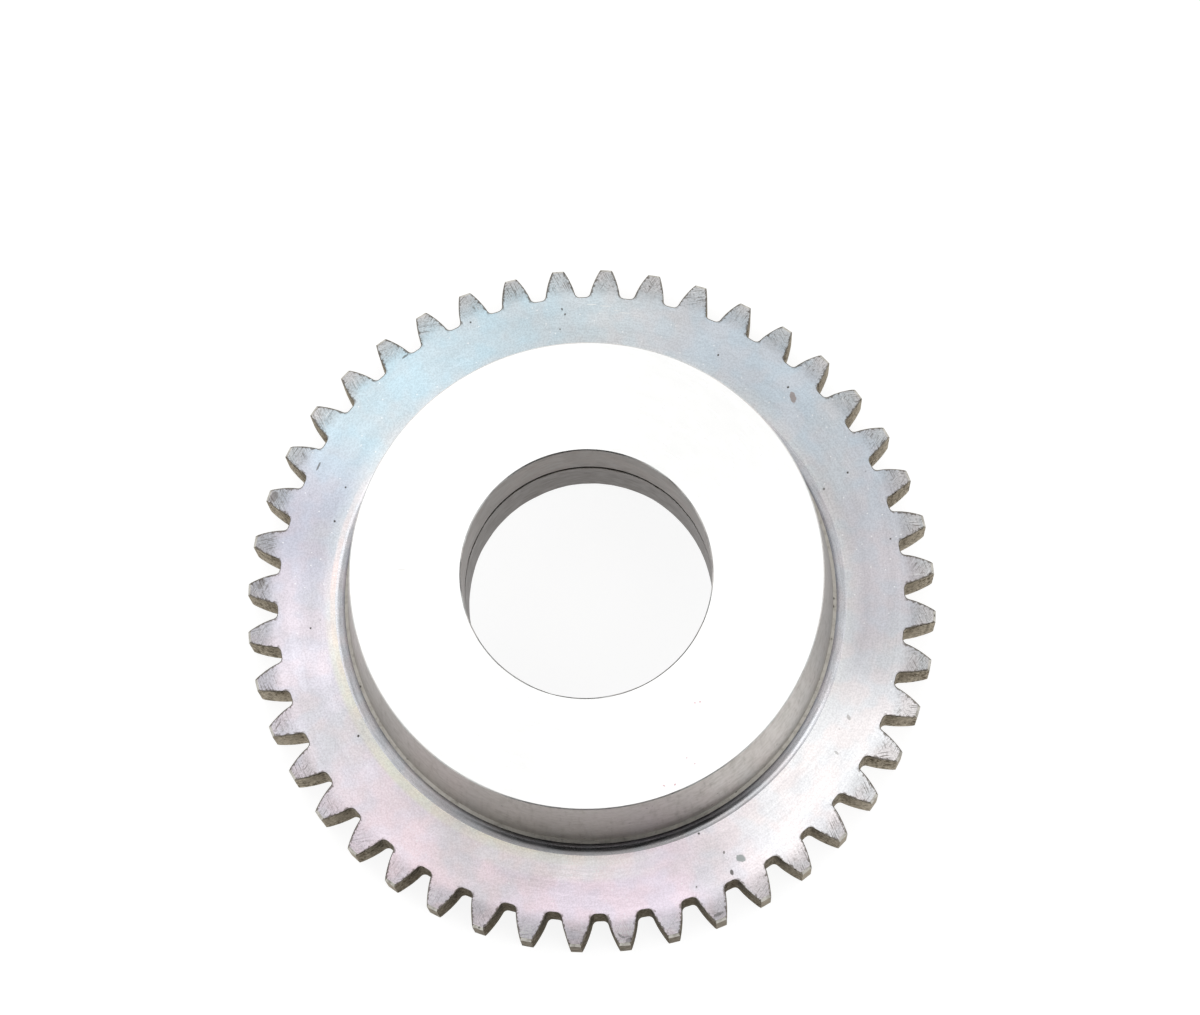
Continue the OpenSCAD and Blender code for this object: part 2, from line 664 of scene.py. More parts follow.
class Pattern:
    """Builds the procedural patterns of one material on Object coordinates."""

    def __init__(self, tree: Tree) -> None:
        """Adds the coordinates that every pattern shares.

        Args:
            tree: The material's tree.
        """
        self.tree = tree
        self.place = add(tree, "ShaderNodeTexCoord", output="Object")
        flat = add(tree, "ShaderNodeVectorMath", {"operation": "MULTIPLY"}, {0: self.place, 1: LEVEL})
        self.radius = add(tree, "ShaderNodeVectorMath", {"operation": "LENGTH"}, {0: flat}, "Value")
        self.unit = add(tree, "ShaderNodeVectorMath", {"operation": "NORMALIZE"}, {0: flat})
        self.x = add(tree, "ShaderNodeSeparateXYZ", None, {0: self.unit}, "X")
        self.y = self.x.at("Y")
        self.height = add(tree, "ShaderNodeSeparateXYZ", None, {0: self.place}, "Z")

    def turned(self, along: Value, spacing: float, sweep: float, detail: float = 2.0) -> Value:
        """Rings round the axis, as a turning tool leaves them.

        Args:
            along: The radius on a turned face, or the height in a bore.
            spacing: Distance between rings, in mm.
            sweep: Number of breaks in a ring per radian.
            detail: Levels of finer rings.

        Returns:
            A value near 0.5 that rises and falls from ring to ring.
        """
        place = add(self.tree, "ShaderNodeCombineXYZ", None,
                    {0: along * (1.0 / (spacing * MM)), 1: self.x * sweep, 2: self.y * sweep})
        return add(self.tree, "ShaderNodeTexNoise", None,
                   {"Vector": place, "Scale": 1.0, "Detail": detail, "Roughness": 0.6}, "Fac")

    def streaks(self, spacing: float, length: float) -> Value:
        """Lines along the axis, as a hob or a die leaves them.

        Args:
            spacing: Distance between lines, in mm.
            length: Length of a line, in mm.

        Returns:
            A value near 0.5 that rises and falls from line to line.
        """
        scale = (1.0 / (spacing * MM), 1.0 / (spacing * MM), 1.0 / (length * MM))
        place = add(self.tree, "ShaderNodeVectorMath", {"operation": "MULTIPLY"}, {0: self.place, 1: scale})
        return add(self.tree, "ShaderNodeTexNoise", None, {"Vector": place, "Scale": 1.0}, "Fac")

    def patches(self, size: float, detail: float = 3.0, roughness: float = 0.55) -> Value:
        """Soft cloudy patches of a size in mm."""
        links = {"Vector": self.place, "Scale": 1.0 / (size * MM), "Detail": detail, "Roughness": roughness}
        return add(self.tree, "ShaderNodeTexNoise", None, links, "Fac")

    def specks(self, spacing: float, share: float, size: float) -> Value:
        """Scattered small pits.

        Args:
            spacing: Distance between places that may hold a pit, in mm.
            share: Share of the places that hold one.
            size: Radius of a pit as a share of the spacing.

        Returns:
            1 in a pit and 0 outside.
        """
        cells = add(self.tree, "ShaderNodeTexVoronoi", {"feature": "F1"},
                    {"Vector": self.place, "Scale": 1.0 / (spacing * MM)}, "Distance")
        chance = add(self.tree, "ShaderNodeSeparateXYZ", None, {0: cells.at("Color")}, "X")
        return cells.to(Step.RAMP, size, size * 0.5) * chance.to(Step.BELOW, share)

    def from_flank(self, teeth: ToothForm) -> Value:
        """Measures how far a point on a tooth's end lies from the nearest flank.

        Args:
            teeth: The teeth, with one on +X.

        Returns:
            The distance in mm.
        """
        middle_r, thickness, first, second = teeth.thickness_curve()
        turn = self.y.to(Step.ANGLE, self.x) * (1.0 / teeth.pitch_angle)
        aside = abs(turn - turn.to(Step.ROUNDED))
        across = aside * (teeth.pitch_angle / MM) * self.radius
        outwards = self.radius * (1.0 / MM) - middle_r
        return (outwards * second + first) * outwards + thickness - across

    def towards(self, side: Side) -> Value:
        """Finds one side of the wheel.

        Args:
            side: The side.

        Returns:
            Its strength straight towards the side, which falls to nil where its spread ends.
        """
        turn = math.radians(side.azimuth)
        facing = add(self.tree, "ShaderNodeVectorMath", {"operation": "DOT_PRODUCT"},
                     {0: self.unit, 1: (math.cos(turn), math.sin(turn), 0.0)}, "Value")
        return facing.to(Step.RAMP, math.cos(math.radians(side.spread)), 1.0, 0.0, side.strength)

    def moved(self, place: Point, turn: float, steps: tuple[float, float]) -> Value:
        """Moves the coordinates to a place of their own.

        Args:
            place: Where they start, in mm.
            turn: Their turn about the axis, in degrees.
            steps: Lengths along X and Y that count as 1, in mm.

        Returns:
            The moved coordinates.
        """
        return add(self.tree, "ShaderNodeMapping", {"vector_type": "TEXTURE"}, {
            "Vector": self.place,
            "Location": [along * MM for along in place],
            "Rotation": (0.0, 0.0, math.radians(turn)),
            "Scale": (steps[0] * MM, steps[1] * MM, 1.0),
        })

    def brushed(self, spacing: float, length: float, turn: float) -> Value:
        """Straight lines across a flat face, as a file leaves them.

        Args:
            spacing: Distance between lines, in mm.
            length: Length of a line, in mm.
            turn: Direction of the lines from X, in degrees.

        Returns:
            A value near 0.5 that rises and falls from line to line.
        """
        place = self.moved((0.0, 0.0, 0.0), turn, (length, spacing))
        return add(self.tree, "ShaderNodeTexNoise", None, {"Vector": place, "Scale": 1.0}, "Fac")

    def mark_shape(self, mark: Mark) -> Value:
        """Draws one mark.

        Args:
            mark: The mark.

        Returns:
            1 inside it and 0 outside.
        """
        placed = self.moved((mark.x, mark.y, mark.height), mark.turn, (mark.width / 2, mark.length / 2))
        away = add(self.tree, "ShaderNodeVectorMath", {"operation": "LENGTH"}, {0: placed}, "Value")
        ragged = self.patches(mark.ragged_size) * mark.ragged - mark.ragged / 2
        return (away + ragged).to(Step.RAMP, *mark.edge)


@dataclass(frozen=True)
class Finish:
    """A metal surface and how it was made. Each kind of finish draws its own patterns.

    An anisotropic finish has its rings round the axis, and the highlights are turned across them.
    """

    name: str
    colour: str
    roughness: float
    anisotropy: float = 0.0
    quarter_turn: float = 0.25
    edge_tint: str = "ffffff"
    uneven_gloss: float = 0.05

    def material(self) -> bpy.types.Material:
        """Builds the material.

        Returns:
            The material, with a metal shader whose patterned inputs are linked.
        """
        made = bpy.data.materials.new(self.name)
        tree = emptied(made)
        shader = add(tree, "ShaderNodeBsdfPrincipled", None, {
            "Base Color": linear(self.colour),
            "Metallic": 1.0,
            "Roughness": self.roughness,
            "Specular Tint": linear(self.edge_tint),
        })
        add(tree, "ShaderNodeOutputMaterial", None, {"Surface": shader})
        sockets = shader.node.inputs
        if self.anisotropy:
            sockets["Anisotropic"].default_value = self.anisotropy
            sockets["Anisotropic Rotation"].default_value = self.quarter_turn
            tangent = add(tree, "ShaderNodeTangent", {"direction_type": "RADIAL", "axis": "Z"})
            tree.links.new(tangent.socket, sockets["Tangent"])
        for name, value in self.draw(Pattern(tree)).items():
            tree.links.new(value.socket, sockets[name])
        return made

    def draw(self, pattern: Pattern) -> dict[str, Value]:
        """Returns the value for each of the shader's patterned inputs, by the input's name."""
        raise NotImplementedError

    def gloss(self, pattern: Value) -> Value:
        """Returns the roughness, which rises and falls a little with a pattern."""
        limits = (self.roughness - self.uneven_gloss, self.roughness + self.uneven_gloss)
        return pattern.to(Step.RAMP, *SPAN, *limits)


@dataclass(frozen=True)
class TurnedZinc(Finish):
    """Mild steel turned on a lathe, then zinc plated with a clear chromate film.

    The rings stretch each highlight across them, and the film breaks the light into faint pastels.
    Lengths are in mm.
    """

    # Real rings are 0.25 mm apart, too fine to show, so they are drawn coarser.
    ring_spacing: float = 0.6
    ring_breaks: float = 9.0
    ring_depth: float = 0.006
    ring_contrast: float = 0.055
    band_spacing: float = 4.0
    band_breaks: float = 2.4
    band_share: float = 0.4
    # The zinc's crystals are far below 0.1 mm, and are drawn as a coarser grain.
    crystal_size: float = 0.45
    grain_contrast: float = 0.09
    cloud_size: float = 22.0
    cloud: float = 0.07
    film_size: float = 6.0
    film_limits: tuple[float, float] = (0.38, 0.62)
    film: tuple[str, str] = ("fffbfc", "fafcff")
    tints: tuple[Tint, ...] = ()
    thin_tint: float = 0.45
    marks: tuple[Mark, ...] = ()
    pit_spacing: float = 2.4
    pits: float = 0.04
    pit_size: float = 0.16
    pit_depth: float = 0.05
    pit_colour: str = "4a4640"
    glint_spacing: float = 1.3
    glint_size: float = 0.2
    glint_share: float = 0.6
    sparkle: float = 0.0
    shade_colour: str = "4d4b48"

    def draw(self, pattern: Pattern) -> dict[str, Value]:
        """Draws rings, tints of film colour and of painted light and shade, cloudy patches, painted glints,
        pits, marks and any painted shade.

        Args:
            pattern: The material's patterns.

        Returns:
            Colour, roughness and normal.
        """
        tree = pattern.tree
        rings = pattern.turned(self.across(pattern), self.ring_spacing, self.ring_breaks)
        bands = pattern.turned(self.across(pattern), self.band_spacing, self.band_breaks, 1.0)
        clouds = pattern.patches(self.cloud_size)
        crystals = pattern.patches(self.crystal_size, 1.0)
        colour: Any = linear(self.colour)
        # Tints: film pastels, with painted light and shade on some sides.
        for tint in self.tints:
            colour = self.tinted(pattern, tint, colour, clouds)
        tone = rings.to(Step.RAMP, 0.25, 0.75, -self.ring_contrast, self.ring_contrast)
        tone = tone + bands.to(Step.RAMP, *SPAN, -self.cloud * self.band_share, self.cloud * self.band_share)
        tone = tone + crystals.to(Step.RAMP, *SPAN, -self.grain_contrast, self.grain_contrast)
        tone = tone + clouds.to(Step.RAMP, *SPAN, 1.0 - self.cloud, 1.0 + self.cloud)
        plain = colour if self.tints else colour[:3]
        scaled = add(tree, "ShaderNodeVectorMath", {"operation": "SCALE"}, {0: plain, "Scale": tone})
        light, dim = (linear(hex_colour) for hex_colour in self.film)
        film = pattern.patches(self.film_size, 1.0).to(Step.RAMP, *self.film_limits).to(Step.MIX, light, dim)
        colour = add(tree, "ShaderNodeVectorMath", {"operation": "MULTIPLY"}, {0: scaled, 1: film})
        # Painted glints: white specks mixed into the colour.
        if self.sparkle:
            glints = pattern.specks(self.glint_spacing, self.sparkle, self.glint_size)
            colour = (glints * self.glint_share).to(Step.MIX, colour, linear("ffffff"))
        pits = pattern.specks(self.pit_spacing, self.pits, self.pit_size)
        colour = pits.to(Step.MIX, colour, linear(self.pit_colour))
        # Marks: stains, and on the web a row of painted highlights.
        for mark in self.marks:
            colour = (pattern.mark_shape(mark) * mark.depth).to(Step.MIX, colour, linear(mark.colour))
        # Painted shade over the finish, where it has some.
        painted_shade = self.painted_shade(pattern)
        if painted_shade:
            colour = painted_shade.to(Step.MIX, colour, linear(self.shade_colour))
        ringed = rings.to(Step.RELIEF, self.ring_depth * MM)
        return {
            "Base Color": colour,
            "Roughness": self.gloss(rings),
            "Normal": (0.0 - pits).to(Step.RELIEF, self.pit_depth * MM, ringed),
        }

    def across(self, pattern: Pattern) -> Value:
        """Returns the direction in which the tool was fed."""
        return pattern.radius

    def painted_shade(self, pattern: Pattern) -> Value | None:
        """Returns the share of painted shade over the finish, if it has one."""
        return None

    def tinted(self, pattern: Pattern, tint: Tint, colour: Any, clouds: Value) -> Value:
        """Mixes one tint into the colour towards its side of the wheel.

        Args:
            pattern: The material's patterns.
            tint: The tint.
            colour: The colour so far.
            clouds: Cloudy patches that thin the tint.

        Returns:
            The new colour.
        """
        thinned = pattern.towards(tint) * clouds.to(Step.RAMP, 0.3, 0.55, self.thin_tint, 1.0)
        middle, half = (tint.inner_r + tint.outer_r) / 2 * MM, (tint.outer_r - tint.inner_r) / 2 * MM
        share = thinned * abs(pattern.radius - middle).to(Step.RAMP, half, half * tint.core)
        return share.to(Step.MIX, colour, linear(tint.colour))


@dataclass(frozen=True)
class RoughZinc(Finish):
    """Zinc over steel that kept its forged or hobbed skin.

    The skin is matt and mottled, with dark pits where the plating is thin. Lengths are in mm.
    """

    dark: str = "4c463e"
    grain: float = 1.6
    grain_depth: float = 0.06
    mottling: float = 0.55
    threshold: float = 0.55
    sharpness: float = 0.13
    patch_size: float = 9.0
    broad_swing: tuple[float, float] = (0.55, 1.2)
    streak_spacing: float = 1.2
    streak_length: float = 14.0
    streak_share: float = 0.35
    streak_limits: tuple[float, float] = (0.5, 0.72)
    streak_height: float = 0.5
    pit_spacing: float = 1.5
    pit_share: float = 0.12
    pit_size: float = 0.3
    pit_strength: float = 0.75
    pit_colour: str = "2e2a25"
    # Painted shade: one side of the teeth turns dark brown.
    shaded_side: Side | None = None
    shaded_side_colour: str = "261c13"
    uneven_gloss: float = 0.08

    def draw(self, pattern: Pattern) -> dict[str, Value]:
        """Draws mottled patches, streaks along the axis, pits, and painted shade on one side where it has
        one.

        Args:
            pattern: The material's patterns.

        Returns:
            Colour, roughness and normal.
        """
        grain = pattern.patches(self.grain, 4.0, 0.65)
        broad = pattern.patches(self.patch_size, 2.0)
        streaks = pattern.streaks(self.streak_spacing, self.streak_length)
        pits = pattern.specks(self.pit_spacing, self.pit_share, self.pit_size)
        limits = (self.threshold - self.sharpness, self.threshold + self.sharpness)
        mottled = grain.to(Step.RAMP, *limits) * self.mottling
        streaked = streaks.to(Step.RAMP, *self.streak_limits) * self.streak_share
        share = (mottled + streaked) * broad.to(Step.RAMP, *SPAN, *self.broad_swing)
        colour = share.to(Step.MIX, linear(self.colour), linear(self.dark))
        colour = (pits * self.pit_strength).to(Step.MIX, colour, linear(self.pit_colour))
        # Painted shade: dark brown over one side of the wheel, broken by patches and grain.
        if self.shaded_side:
            uneven = broad.to(Step.RAMP, 0.3, 0.6, 0.92, 1.0)
            film = pattern.towards(self.shaded_side) * uneven * grain.to(Step.RAMP, 0.4, 0.58, 0.8, 1.0)
            colour = film.to(Step.MIX, colour, linear(self.shaded_side_colour))
        return {
            "Base Color": colour,
            "Roughness": self.gloss(grain),
            "Normal": (grain + streaks * self.streak_height - pits).to(Step.RELIEF, self.grain_depth * MM),
        }


@dataclass(frozen=True)
class FootFillet(TurnedZinc):
    """The turned fillet at the hub's foot.

    Painted shade darkens it towards the ledge and on its near side.
    """

    low_z: float = 17.0
    high_z: float = 19.9
    # Painted shade: its share at the ledge, and the near side that gets more of it.
    crease_shade: float = 0.4
    near: Side = Side(282.0, 62.0, 0.56)

    def painted_shade(self, pattern: Pattern) -> Value:
        """Returns the share of painted shade, which grows towards the ledge and the near side."""
        upwards = pattern.height.to(Step.RAMP, self.low_z * MM, self.high_z * MM, 0.0, self.crease_shade)
        return upwards + pattern.towards(self.near)


@dataclass(frozen=True)
class BoredZinc(TurnedZinc):
    """The bored wall, darkened and browned with depth by painted shade."""

    mouth_z: float = 47.0
    deep_z: float = 26.0
    depth_shade: float = 0.9
    shade_colour: str = "473e37"

    def across(self, pattern: Pattern) -> Value:
        """The boring bar was fed along the axis."""
        return pattern.height

    def painted_shade(self, pattern: Pattern) -> Value:
        """Returns the share of brown painted shade, which grows with depth."""
        return pattern.height.to(Step.RAMP, self.mouth_z * MM, self.deep_z * MM, 0.0, self.depth_shade)


@dataclass(frozen=True)
class GroundEnd(TurnedZinc):
    """The ends of the teeth, turned with the web and then dressed by hand with a file.

    Crisp scratches in groups, with painted glints in lines between them, and a matt grain that gathers
    towards the tips.
    """

    dressed_r: float = 84.5
    dressed_width: float = 3.5
    scratch_spacing: float = 0.3
    scratch_length: float = 6.0
    scratch_depth: float = 0.6
    dark_lines: float = 0.7
    dark_limits: tuple[float, float] = (0.56, 0.66)
    dark_colour: str = "645c54"
    glint_lines: float = 0.5
    glint_limits: tuple[float, float] = (0.42, 0.34)
    glint_colour: str = "fbfbfb"
    group_size: float = 7.0
    group_edge: float = 0.03
    group_limits: tuple[float, ...] = (0.0, 0.44, 0.54, 1.0)
    strokes: tuple[float, ...] = (12.0, 58.0, 118.0)
    matt_grain: float = 0.6
    matt_limits: tuple[float, float] = (0.5, 0.62)
    matt_r: tuple[float, float] = (83.5, 87.5)
    matt_share: float = 0.4
    matt_depth: float = 0.09
    matt_colour: str = "6b665d"
    roughened: float = 0.14
    burr_start: float = 1.3
    burr_width: tuple[float, float] = (0.62, 0.22)
    burr_grain: float = 1.1
    burr_ragged: float = 2.6
    burr_share: float = 0.75
    burr_colour: str = "5d5348"
    # On this side the scratches, their glints and the matt grain fade.
    calm: Side = Side(266.0, 62.0, 0.6)

    def draw(self, pattern: Pattern) -> dict[str, Value]:
        """Adds the scratches with their painted glints, the matt grain and the burr over the turned finish.

        Args:
            pattern: The material's patterns.

        Returns:
            Colour, roughness and normal.
        """
        look = super().draw(pattern)
        colour = look["Base Color"]
        calm = 1.0 - pattern.towards(self.calm)
        start, end = (r * MM for r in (self.dressed_r, self.dressed_r + self.dressed_width))
        filed = pattern.radius.to(Step.RAMP, start, end) * calm
        groups = pattern.patches(self.group_size, 1.0)
        grain = pattern.patches(self.matt_grain, 4.0, 0.75)
        height = grain
        for turn, low, high in zip(self.strokes, self.group_limits, self.group_limits[1:]):
            lines = pattern.brushed(self.scratch_spacing, self.scratch_length, turn)
            above = groups.to(Step.RAMP, low - self.group_edge, low + self.group_edge)
            here = above * groups.to(Step.RAMP, high + self.group_edge, high - self.group_edge) * filed
            dark = lines.to(Step.RAMP, *self.dark_limits) * here
            colour = (dark * self.dark_lines).to(Step.MIX, colour, linear(self.dark_colour))
            # Painted glints: near-white lines between the scratches.
            glint_line = lines.to(Step.RAMP, *self.glint_limits) * here
            colour = (glint_line * self.glint_lines).to(Step.MIX, colour, linear(self.glint_colour))
            height = height - dark * self.scratch_depth
        start, end = (r * MM for r in self.matt_r)
        matt = pattern.radius.to(Step.RAMP, start, end, 0.0, self.matt_share)
        share = grain.to(Step.RAMP, *self.matt_limits) * matt * calm
        colour = share.to(Step.MIX, colour, linear(self.matt_colour))
        look["Base Color"] = self.burred(pattern, colour)
        look["Roughness"] = look["Roughness"] + pattern.radius.to(Step.RAMP, start, end, 0.0, self.roughened)
        look["Normal"] = (height * matt).to(Step.RELIEF, self.matt_depth * MM, look["Normal"])
        return look

    def burred(self, pattern: Pattern, colour: Value) -> Value:
        """Browns the ragged burr that the hob left along the flanks.

        Args:
            pattern: The material's patterns.
            colour: The colour so far.

        Returns:
            The new colour.
        """
        ragged = (pattern.patches(self.burr_grain, 3.0, 0.65) - 0.5) * self.burr_ragged
        near = (pattern.from_flank(ToothForm()) + ragged).to(Step.RAMP, *self.burr_width)
        start, end = (r * MM for r in (self.dressed_r - self.burr_start, self.dressed_r))
        outer = pattern.radius.to(Step.RAMP, start, end, 0.0, self.burr_share)
        return (near * outer).to(Step.MIX, colour, linear(self.burr_colour))


# Zinc film pastels round the web, some also painting light and shade: the near-white ones at 212, 250, 262,
# 288 and 322 degrees paint light on the near side, the one at 322 a highlight, and the darker ones at 2, 52
# and 178 degrees paint shade on those sides.
WEB_FILM_AND_LIGHT_TINTS = (
    Tint(134, 60, 0.9, "bcd2da"),
    Tint(178, 34, 0.85, "b9b6c1"),
    Tint(2, 46, 0.85, "c0bfc4"),
    Tint(212, 44, 0.95, "f0eaf1", 56.0, 106.0),
    Tint(250, 40, 0.95, "f3e4ea", 56.0, 106.0),
    Tint(288, 44, 0.95, "efe2ec", 56.0, 106.0),
    Tint(322, 34, 0.9, "f2f1f0", 56.0, 106.0),
    Tint(186, 36, 0.7, "efdfda", 67.9, 69.9),
    Tint(232, 60, 0.8, "eef0d8", 66.6, 71.6),
    Tint(262, 30, 0.7, "f6f2f0", 68.0, 76.0),
    Tint(52, 40, 0.7, "bccad4"),
)
# Painted light on the ends of the near side, and painted shade on the ends at 311 and 180 degrees.
END_LIGHT_AND_SHADE_TINTS = (
    Tint(268, 40, 0.95, "fcf7fb", 83.0, 106.0),
    Tint(311, 24, 0.8, "cdcbcc", 83.0, 106.0),
    Tint(180, 28, 0.7, "b4b2b5", 83.0, 106.0),
)

# Marks on the web: dull spots, two scratches on the left, and a row of painted highlights along turning
# streaks on the far side.
WEB_MARKS_AND_HIGHLIGHTS = (
    Mark(51.8, 57.9, 1.7, 3.4, 18, "8d7a70", 0.7),
    Mark(42.6, -67.2, 2.1, 2.8, 60, "8f9796", 0.85),
    Mark(40.4, -71.0, 1.0, 1.5, 20, "55524e", 0.85),
    Mark(38.1, -65.8, 0.6, 0.9, 10, "5d5a56", 0.8),
    Mark(-11.4, 79.9, 0.5, 0.8, 30, "4a4742", 0.8),
    Mark(-10.5, 78.5, 0.6, 0.6, 0, "4a4742", 0.8),
    Mark(-11.7, 74.3, 0.6, 0.5, 0, "4f4c47", 0.8),
    Mark(61.0, 33.0, 0.7, 0.7, 0, "4a4742", 0.75),
    Mark(69.7, -28.6, 0.9, 1.8, 30, "8b8883", 0.5),
    Mark(66.8, -38.1, 0.7, 1.5, 50, "8b8883", 0.5),
    Mark(-74.8, 33.9, 2.6, 0.6, 68, "55504a", 0.7),
    Mark(-53.1, 65.2, 2.4, 0.6, 40, "55504a", 0.7),
    # Painted highlights along turning streaks.
    Mark(-3.4, 81.5, 2.6, 0.35, 3, "f4f4f2", 0.6),
    Mark(0.4, 81.2, 3.4, 0.3, -1, "f4f4f2", 0.55),
    Mark(3.4, 80.1, 1.7, 0.25, -3, "f0f0ee", 0.5),
    Mark(5.6, 79.5, 3.2, 0.3, -5, "f0f0ee", 0.55),
    Mark(9.0, 78.8, 2.2, 0.25, -7, "f0f0ee", 0.5),
)

# Dull smudges on the ends of four teeth.
END_STAINS = (
    Mark(14.1, -89.7, 2.4, 1.3, 30, "8a888a", 0.6),
    Mark(12.0, -88.8, 2.6, 0.6, -28, "8f8d8f", 0.5),
    Mark(13.5, -88.9, 3.6, 0.4, 12, "9a989a", 0.5),
    Mark(37.2, -82.0, 2.8, 0.9, 24, "7d7b7a", 0.65),
    Mark(-86.4, 25.4, 3.4, 2.2, 70, "85807e", 0.65),
    Mark(-88.3, 1.3, 3.2, 1.8, 60, "8b8683", 0.6),
)

# Small pink specks and one dull scuff on the hub's top face.
HUB_STAINS = (
    Mark(29.3, -32.6, 0.5, 0.5, 0, "d8b4ba", 0.8, 56.0),
    Mark(30.6, -32.3, 0.6, 0.5, 20, "cfa7ae", 0.8, 56.0),
    Mark(27.8, -46.9, 0.5, 0.5, 0, "d8bcc2", 0.7, 56.0),
    Mark(29.9, -48.3, 0.5, 0.5, 0, "d8bcc2", 0.7, 56.0),
    Mark(22.3, -54.3, 0.8, 0.4, -20, "cfa7ae", 0.8, 56.0),
    Mark(25.1, -53.9, 0.7, 0.5, 30, "cfa7ae", 0.8, 56.0),
    Mark(-47.7, -1.0, 2.8, 0.4, 2, "cdc9c6", 0.6, 56.0),
)


def wheel_finishes() -> dict[Zone, Finish]:
    """Returns the finish of each surface of the wheel."""
    return {
        # Fine rings stretch the highlights, with painted glints scattered over the face.
        Zone.WEB: TurnedZinc(
            "turned_zinc_web", "dddedd", 0.33, 0.75, ring_contrast=0.075, tints=WEB_FILM_AND_LIGHT_TINTS, marks=WEB_MARKS_AND_HIGHLIGHTS,
            sparkle=0.14),
        # The same turned face, crossed by file scratches with painted glints along them.
        Zone.TOOTH_END: GroundEnd(
            "filed_zinc_tooth_end", "dcdddc", 0.33, 0.75, ring_contrast=0.075, tints=WEB_FILM_AND_LIGHT_TINTS + END_LIGHT_AND_SHADE_TINTS,
            marks=WEB_MARKS_AND_HIGHLIGHTS + END_STAINS, sparkle=0.14),
        # A brown, ragged line round each tooth.
        Zone.TOOTH_EDGE: RoughZinc(
            "hobbed_burr_edge", "8d877c", 0.5, dark="3f382f", grain=0.7, mottling=1.0, pit_share=0.2),
        # A dull grey line between the tip and the end.
        Zone.TIP_CHAMFER: RoughZinc("turned_zinc_tip_chamfer", "c9c6bf", 0.45, dark="8a857c", mottling=0.5),
        # A thin bright line where two machined faces meet.
        Zone.BROKEN_EDGE: TurnedZinc("rubbed_zinc_edge", "dcdcd8", 0.30, 0.0, pits=0.0),
        # Speckled grey brown with streaks along the axis, no clear reflections, and painted shade on the near
        # side.
        Zone.FLANK: RoughZinc(
            "hobbed_zinc_flank", "bfb7a9", 0.55, edge_tint="cfc8bb", dark="554d42", grain=0.8,
            grain_depth=0.1, threshold=0.515, mottling=0.92, sharpness=0.075, streak_spacing=0.8,
            streak_share=0.45, pit_share=0.08, shaded_side=Side(270.0, 62.0, 0.97)),
        # Smoother than the flanks, in the same brown, with painted shade on the near side.
        Zone.TIP_LAND: RoughZinc(
            "turned_zinc_tip", "a59d8f", 0.45, edge_tint="dcd6cc", dark="5e5649", mottling=0.5,
            shaded_side=Side(270.0, 40.0, 0.86)),
        # Turned so finely that it shows one even white.
        Zone.HUB_TOP: TurnedZinc(
            "fine_turned_zinc_hub_face", "f8f8f7", 0.32, 0.4, ring_contrast=0.004, grain_contrast=0.004,
            cloud=0.004, film=("ffffff", "ffffff"), pits=0.0, marks=HUB_STAINS),
        # A soft grey with faint blotches and blurred reflections.
        Zone.HUB_WALL: RoughZinc(
            "forged_zinc_hub_wall", "b8b4ae", 0.44, dark="938e85", grain=2.4, mottling=0.3, grain_depth=0.02,
            pit_share=0.012),
        # A dull band above the bright fillet.
        Zone.LEDGE: RoughZinc("forged_zinc_ledge", "c2beb6", 0.42, dark="7d776d", mottling=0.3),
        # A bright ring, with painted shade towards the ledge and on the near side.
        Zone.FILLET: FootFillet("turned_zinc_fillet", "cfcfd1", 0.26, 0.3, ring_contrast=0.12, pits=0.0),
        # Grey brown with painted shade that deepens downwards, and reflections stretched along the axis.
        Zone.BORE: BoredZinc("bored_zinc_bore", "736b64", 0.34, 0.6, ring_contrast=0.07),
        # A thin, nearly black line.
        Zone.GROOVE: RoughZinc("turned_groove", "4a4843", 0.6, dark="23211e"),
        # Plain turned grey.
        Zone.UNDERSIDE: TurnedZinc("turned_zinc_underside", "c0c1c0", 0.38, 0.6),
    }


